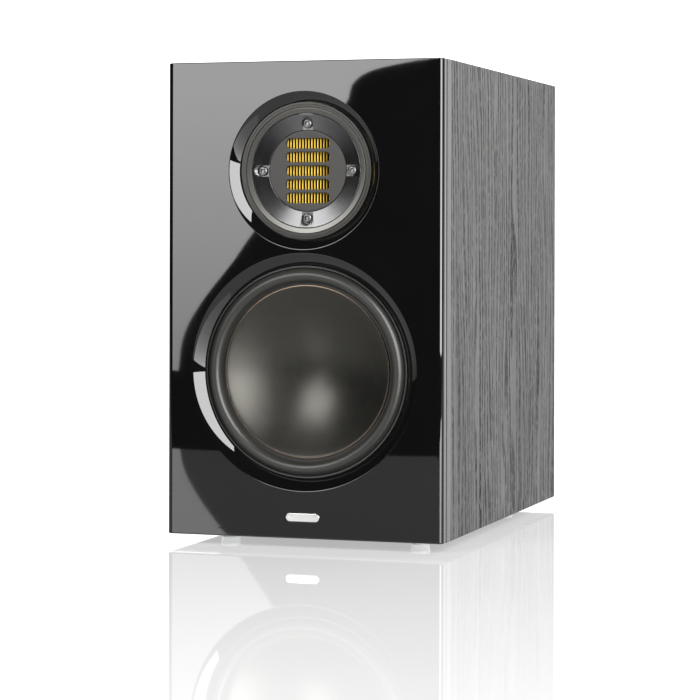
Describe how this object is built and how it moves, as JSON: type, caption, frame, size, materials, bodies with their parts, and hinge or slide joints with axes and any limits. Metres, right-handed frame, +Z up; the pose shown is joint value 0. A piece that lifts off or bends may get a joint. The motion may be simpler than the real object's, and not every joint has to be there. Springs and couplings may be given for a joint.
{
  "type": "bookshelf speaker",
  "caption": "Two-way bookshelf loudspeaker in a dark wood cabinet: gloss black front, gold pleated-film tweeter, dished woofer, rear port and screw-down terminals.",
  "frame": {"origin": "on the surface the feet stand on, under the middle of the cabinet's width and depth", "axes": "+Z up; the front baffle faces -Y, the port and terminals face +Y; +X is the right-hand side seen from the front"},
  "size_m": [0.2, 0.32, 0.3325],
  "materials": {
    "gloss_black": "piano black lacquer, polished",
    "lipping": "smooth satin charcoal paint",
    "veneer": "open-grain charcoal-stained oak veneer",
    "fibreboard": "raw medium-density fibreboard",
    "rear_black": "fine-textured black paint",
    "clear_foot": "clear moulded polyurethane",
    "badge": "polished metal",
    "satin_steel": "turned, dark satin metal",
    "satin_black": "satin black, fine texture",
    "plate_grey": "bead-blasted grey metal",
    "film": "gold-coloured pleated film",
    "steel": "zinc-plated steel",
    "neodymium": "nickel-plated magnet",
    "foam": "closed-cell foam",
    "cast_alloy": "black powder-coated die casting",
    "rubber": "butyl rubber, satin",
    "cone": "dark anodised one-piece dish",
    "former": "amber polyimide film",
    "copper": "enamelled copper",
    "spider_cloth": "resin-dipped woven cloth",
    "ferrite": "sintered ferrite",
    "black_plastic": "moulded, fine texture",
    "knob_red": "moulded clear red",
    "brass": "gold-plated brass",
    "board": "circuit board, green resist",
    "capacitor": "wrapped film capacitor",
    "ceramic": "cement-filled resistor",
    "cable": "sleeved twisted pair",
    "wool": "polyester wadding"
  },
  "bodies": {
    "cabinet": {"front_baffle": "gloss_black", "front_frame": "lipping", "sub_baffle": "fibreboard", "side_panel_left": "veneer", "side_panel_right": "veneer", "top_panel": "veneer", "bottom_panel": "veneer", "rear_panel": "rear_black", "window_brace": "fibreboard", "foot_front_left": "clear_foot", "foot_front_right": "clear_foot", "foot_rear_left": "clear_foot", "foot_rear_right": "clear_foot", "badge": "badge", "tweeter_flange": "satin_steel", "tweeter_waveguide": "satin_black", "tweeter_front_plate": "plate_grey", "tweeter_diaphragm": "film", "tweeter_diaphragm_frame": "black_plastic", "tweeter_magnet_left": "neodymium", "tweeter_magnet_right": "neodymium", "tweeter_rear_plate": "steel", "tweeter_back_can": "black_plastic", "tweeter_gasket": "foam", "tweeter_screw_right": "steel", "tweeter_screw_top": "steel", "tweeter_screw_left": "steel", "tweeter_screw_bottom": "steel", "woofer_basket": "cast_alloy", "woofer_gasket": "foam", "woofer_trim_ring": "rubber", "woofer_surround": "rubber", "spider": "spider_cloth", "woofer_top_plate": "steel", "woofer_magnet": "ferrite", "woofer_yoke": "steel", "woofer_terminal_block": "black_plastic", "tinsel_lead_plus": "copper", "tinsel_lead_minus": "copper", "port_tube": "black_plastic", "terminal_cup": "black_plastic", "post_stud_red": "brass", "post_stud_black": "brass", "crossover_board": "board", "inductor_woofer": "copper", "inductor_tweeter": "copper", "capacitor_woofer": "capacitor", "capacitor_tweeter": "capacitor", "resistor": "ceramic", "input_cable": "cable", "woofer_cable": "cable", "tweeter_cable": "cable", "damping_wool": "wool"},
    "cone": {"woofer_cone": "cone", "voice_coil_former": "former", "voice_coil_winding": "copper"},
    "washer_red": {"post_washer_red": "brass"},
    "knob_red": {"post_knob_red": "knob_red"},
    "washer_black": {"post_washer_black": "brass"},
    "knob_black": {"post_knob_black": "black_plastic"}
  },
  "joints": [
    {"name": "cone_travel", "type": "slide", "parent": "cabinet", "child": "cone", "axis": [0, -1, 0], "range_m": [-0.005, 0.005], "stiffness_N_per_m": 1010, "deforming": ["woofer_surround", "spider", "tinsel_lead_plus", "tinsel_lead_minus"]},
    {"name": "red_post_slide", "type": "slide", "parent": "cabinet", "child": "washer_red", "axis": [0, 1, 0], "range_m": [0, 0.00501]},
    {"name": "red_knob_turn", "type": "hinge", "parent": "washer_red", "child": "knob_red", "pos_m": [0.0125, 0.1496, 0.0815], "axis": [0, 1, 0], "range_deg": [0, 1800]},
    {"name": "black_post_slide", "type": "slide", "parent": "cabinet", "child": "washer_black", "axis": [0, 1, 0], "range_m": [0, 0.00501]},
    {"name": "black_knob_turn", "type": "hinge", "parent": "washer_black", "child": "knob_black", "pos_m": [-0.0125, 0.1496, 0.0815], "axis": [0, 1, 0], "range_deg": [0, 1800]}
  ],
  "couplings": [
    {"joint": "red_post_slide", "follows": "red_knob_turn", "m_per_rad": 0.00015915},
    {"joint": "black_post_slide", "follows": "black_knob_turn", "m_per_rad": 0.00015915}
  ]
}
